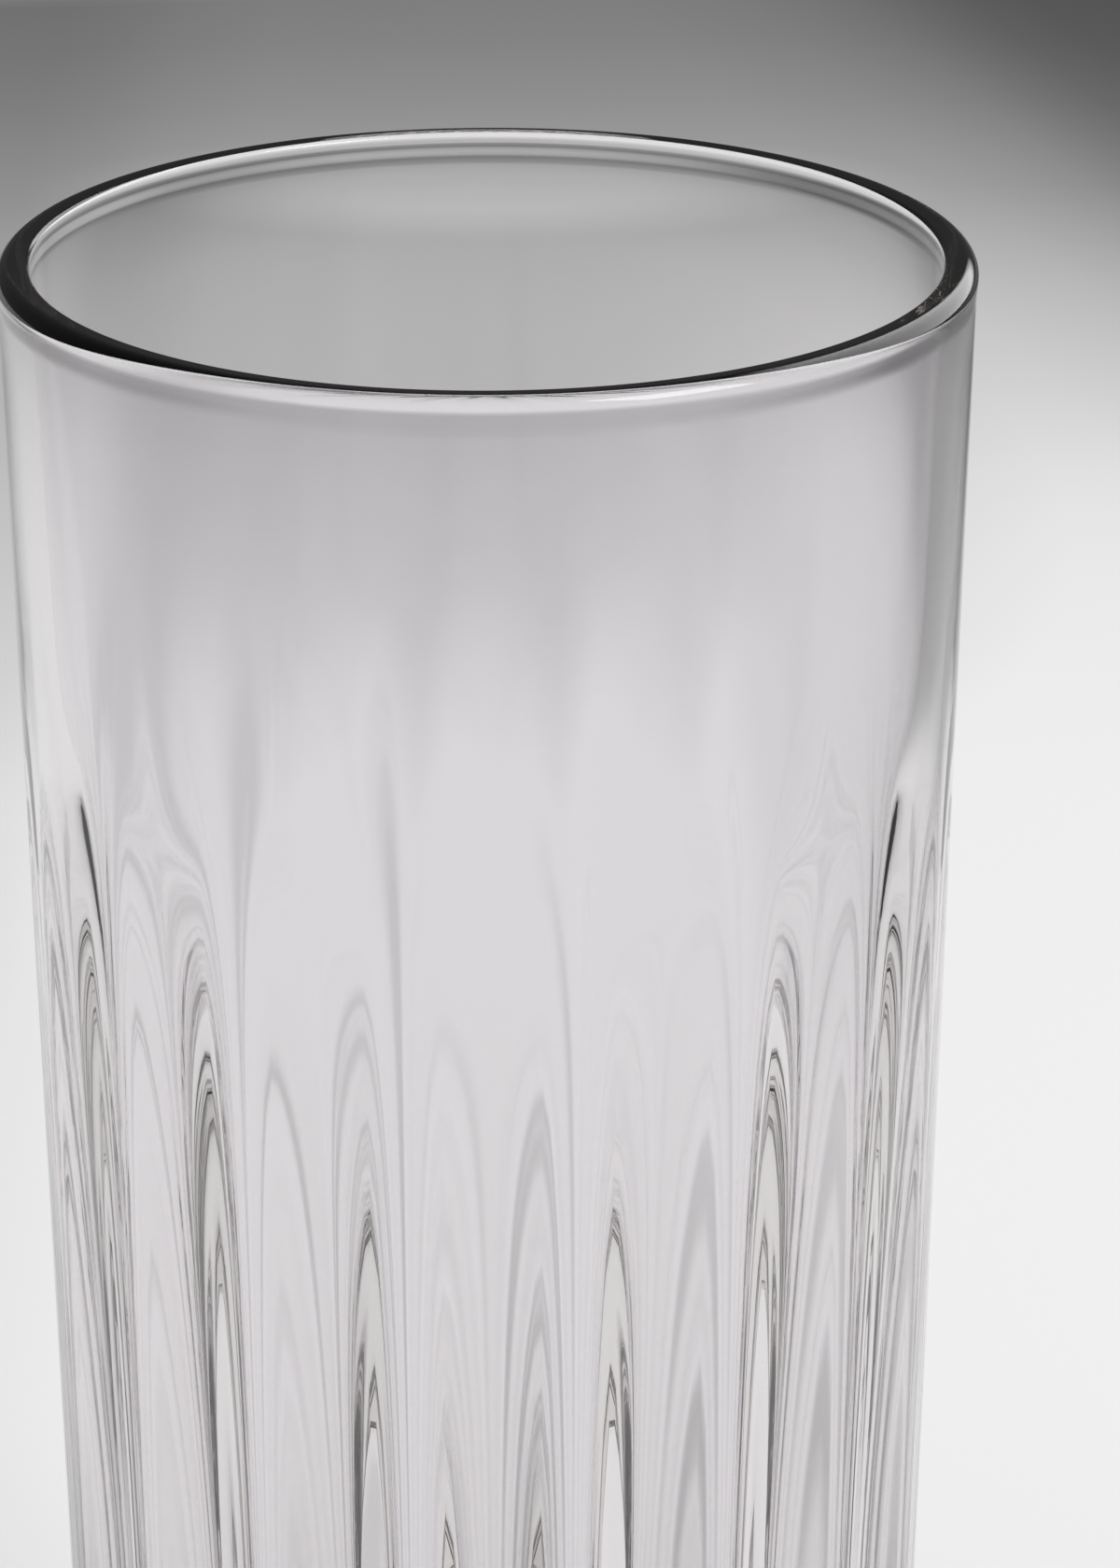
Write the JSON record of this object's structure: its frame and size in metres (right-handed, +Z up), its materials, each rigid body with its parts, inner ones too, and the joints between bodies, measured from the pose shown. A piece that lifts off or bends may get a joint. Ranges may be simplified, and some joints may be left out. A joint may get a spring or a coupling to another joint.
{
  "type": "highball glass",
  "caption": "Tall, slightly tapered clear glass tumbler with upright ribs inside its lower wall, a thick base and a rounded rim, for long drinks.",
  "frame": {"origin": "centre of the resting ring, on the surface that the glass stands on", "axes": "+Z up the glass's own axis to the rim; -Y towards the picture's camera, on the middle of a rib"},
  "size_m": [0.066, 0.066, 0.148],
  "materials": {
    "clear_glass": "clear soda-lime glass, fire-polished all over, very faintly grey"
  },
  "bodies": {
    "root": {"glass": "clear_glass"}
  },
  "joints": []
}
